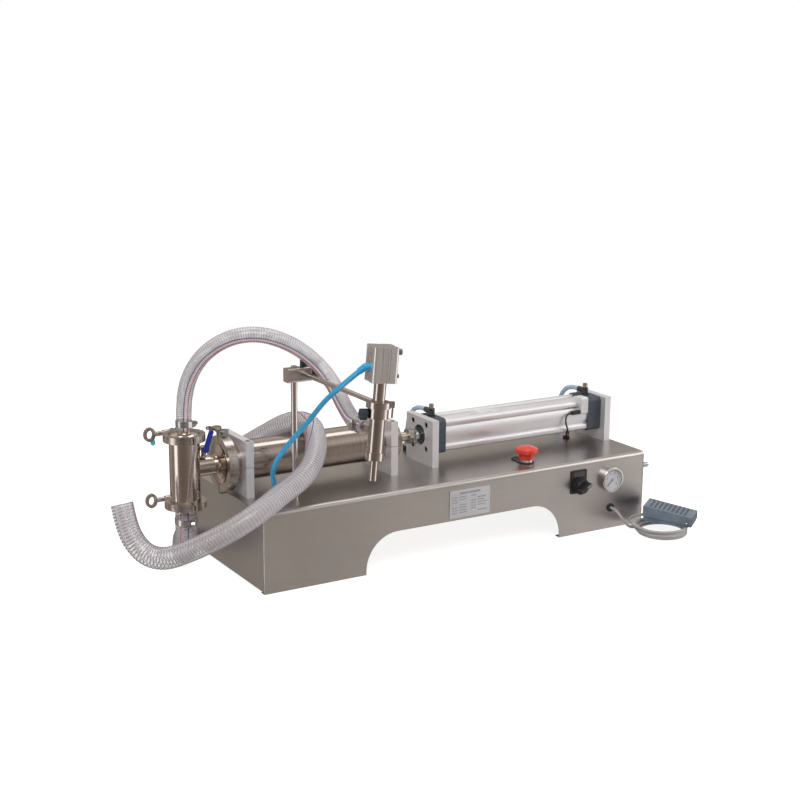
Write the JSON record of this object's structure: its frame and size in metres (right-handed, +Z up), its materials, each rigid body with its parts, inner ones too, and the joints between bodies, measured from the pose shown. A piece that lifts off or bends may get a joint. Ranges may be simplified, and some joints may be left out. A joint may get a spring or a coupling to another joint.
{
  "type": "piston liquid filler",
  "caption": "Bench-top pneumatic piston filler: air cylinder, product barrel, three-way check valve, hoses, filling head on a stand and foot switch, on a folded steel cabinet.",
  "frame": {"origin": "middle of the cabinet's rectangular footprint, on the bench", "axes": "+X along the machine from the valve end to the air cylinder end, +Y away from the operator, +Z up"},
  "size_m": [0.998, 0.5354, 0.4115],
  "materials": {
    "cabinet_steel": "brushed stainless sheet, grain along the length",
    "plate_print": "anodised plate with a printed grey table",
    "machined_aluminium": "milled and fine blasted",
    "black_screw": "black oxide socket screws",
    "polished_steel": "turned and polished stainless",
    "white_seal": "white silicone",
    "blue_lever": "royal blue dipped lever",
    "cast_clamp": "cast and tumbled stainless",
    "ball_steel": "ground ball",
    "navy_cap": "dark navy anodised casting",
    "bright_profile": "bright anodised extrusion",
    "white_band": "white clamp",
    "black_plastic": "black moulding",
    "black_cable": "thin black lead",
    "piston_steel": "turned stainless",
    "black_seal": "black lip seal",
    "rod_chrome": "hard chromed rod",
    "coupling_steel": "machined steel",
    "black_fitting": "black fitting body",
    "brass_screw": "nickelled brass",
    "pale_tube": "pale blue polyurethane tube",
    "inlet_brass": "brass plug with a cyan ring",
    "collar_chrome": "chromed collar",
    "red_button": "orange red moulding",
    "black_knob": "black moulding",
    "gauge_chrome": "chromed bezel",
    "dial_white": "white printed dial",
    "needle_black": "black pointer",
    "rod_steel": "ground stainless",
    "navy_knob": "dark navy moulding",
    "head_steel": "turned stainless",
    "satin_aluminium": "satin anodised extrusion",
    "clear_hose": "clear soft plastic with a steel wire helix",
    "azure_tube": "bright azure polyurethane tube",
    "band_steel": "worm drive bands",
    "pedal_grey": "blue grey enamel",
    "grey_cable": "pale grey lead"
  },
  "bodies": {
    "cabinet": {"cabinet_shell": "cabinet_steel", "cabinet_ends": "cabinet_steel", "nameplate": "plate_print", "block_lowers": "machined_aluminium", "block_uppers": "machined_aluminium", "cylinder_plates": "machined_aluminium", "frame_screws": "black_screw", "barrel": "polished_steel", "gaskets": "white_seal", "valve_body": "polished_steel", "clamp_rings": "cast_clamp", "clamp_bolts": "cast_clamp", "hose_barbs": "polished_steel", "air_caps": "navy_cap", "air_profile": "bright_profile", "sensor_bracket": "white_band", "reed_sensor": "black_plastic", "sensor_cable": "black_cable", "glands": "black_plastic", "flow_controls": "black_fitting", "supply_tube_front": "pale_tube", "supply_tube_rear": "pale_tube", "air_inlet": "inlet_brass", "legend_plates": "black_plastic", "estop_collar": "collar_chrome", "gauge_case": "gauge_chrome", "gauge_dial": "dial_white", "stand_rods": "rod_steel", "cross_clamp": "rod_steel", "head_body": "head_steel", "nozzle_tip": "head_steel", "head_cylinder": "satin_aluminium", "head_fittings": "black_fitting", "outlet_hose": "clear_hose", "suction_hose": "clear_hose", "head_air_tube": "azure_tube", "hose_bands": "band_steel", "pedal_base": "pedal_grey", "pedal_coil": "grey_cable", "pedal_cable": "grey_cable"},
    "piston_train": {"product_piston": "piston_steel", "piston_seals": "black_seal", "air_rod": "rod_chrome", "coupling": "coupling_steel"},
    "needle": {"head_needle": "rod_steel"},
    "inlet_check": {"inlet_ball": "ball_steel"},
    "outlet_check": {"outlet_ball": "ball_steel"},
    "stop_button": {"estop_head": "red_button"},
    "selector": {"selector_knob": "black_knob"},
    "pointer": {"gauge_needle": "needle_black"},
    "treadle": {"pedal_treadle": "pedal_grey"},
    "top_nut": {"top_wing_nut": "cast_clamp"},
    "bottom_nut": {"bottom_wing_nut": "cast_clamp"},
    "end_nut": {"end_wing_nut": "cast_clamp"},
    "vent": {"vent_lever": "blue_lever"},
    "front_flow": {"flow_screw_front": "brass_screw"},
    "rear_flow": {"flow_screw_rear": "brass_screw"},
    "arm_lock": {"arm_lever": "navy_knob"},
    "post_lock": {"clamp_knob": "navy_knob"},
    "head_lock": {"head_knob": "navy_knob"}
  },
  "joints": [
    {"name": "piston_stroke", "type": "slide", "parent": "cabinet", "child": "piston_train", "axis": [-1, 0, 0], "range_m": [0, 0.25]},
    {"name": "needle_lift", "type": "slide", "parent": "cabinet", "child": "needle", "axis": [0.0872, 0, 0.9962], "range_m": [0, 0.01], "stiffness_N_per_m": 1500, "springref_m": -0.005},
    {"name": "inlet_ball_lift", "type": "slide", "parent": "cabinet", "child": "inlet_check", "axis": [0, 0, 1], "range_m": [0, 0.008]},
    {"name": "outlet_ball_lift", "type": "slide", "parent": "cabinet", "child": "outlet_check", "axis": [0, 0, 1], "range_m": [0, 0.008]},
    {"name": "stop_press", "type": "slide", "parent": "cabinet", "child": "stop_button", "axis": [0, 0, -1], "range_m": [0, 0.004], "stiffness_N_per_m": 1500, "springref_m": -0.002},
    {"name": "selector_turn", "type": "hinge", "parent": "cabinet", "child": "selector", "pos_m": [0.229, -0.14, 0.088], "axis": [0, 1, 0], "range_deg": [-45, 45]},
    {"name": "pointer_sweep", "type": "hinge", "parent": "cabinet", "child": "pointer", "pos_m": [0.2975, -0.138, 0.09], "axis": [0, 1, 0], "range_deg": [0, 270], "stiffness_Nm_per_rad": 0.0005, "springref_deg": -17.19},
    {"name": "pedal_press", "type": "hinge", "parent": "cabinet", "child": "treadle", "pos_m": [0.40578, -0.21991, 0.022], "axis": [-0.7915, -0.6112, 0], "range_deg": [0, 7], "stiffness_Nm_per_rad": 6, "springref_deg": -5.73},
    {"name": "top_nut_turn", "type": "hinge", "parent": "cabinet", "child": "top_nut", "pos_m": [-0.461, 0.038, 0.23], "axis": [1, 0, 0], "range_deg": [-180, 180]},
    {"name": "bottom_nut_turn", "type": "hinge", "parent": "cabinet", "child": "bottom_nut", "pos_m": [-0.461, 0.038, 0.1225], "axis": [1, 0, 0], "range_deg": [-180, 180]},
    {"name": "end_nut_turn", "type": "hinge", "parent": "cabinet", "child": "end_nut", "pos_m": [-0.3765, 0, 0.229], "axis": [0, 1, 0], "range_deg": [-180, 180]},
    {"name": "vent_turn", "type": "hinge", "parent": "cabinet", "child": "vent", "pos_m": [-0.409, -0.009, 0.207], "axis": [0, 1, 0], "range_deg": [0, 26]},
    {"name": "front_flow_turn", "type": "hinge", "parent": "cabinet", "child": "front_flow", "pos_m": [0.011, 0, 0.225], "axis": [0, 0, 1], "range_deg": [-180, 180]},
    {"name": "rear_flow_turn", "type": "hinge", "parent": "cabinet", "child": "rear_flow", "pos_m": [0.33875, 0, 0.225], "axis": [0, 0, 1], "range_deg": [-180, 180]},
    {"name": "arm_lock_turn", "type": "hinge", "parent": "cabinet", "child": "arm_lock", "pos_m": [-0.2735, -0.08, 0.345], "axis": [0, 0, 1], "range_deg": [0, 90]},
    {"name": "post_lock_turn", "type": "hinge", "parent": "cabinet", "child": "post_lock", "pos_m": [-0.256, -0.08, 0.33], "axis": [1, 0, 0], "range_deg": [-180, 180]},
    {"name": "head_lock_turn", "type": "hinge", "parent": "cabinet", "child": "head_lock", "pos_m": [-0.29215, -0.30118, 0.31341], "axis": [0.9811, -0.1736, -0.0858], "range_deg": [-180, 180]}
  ]
}
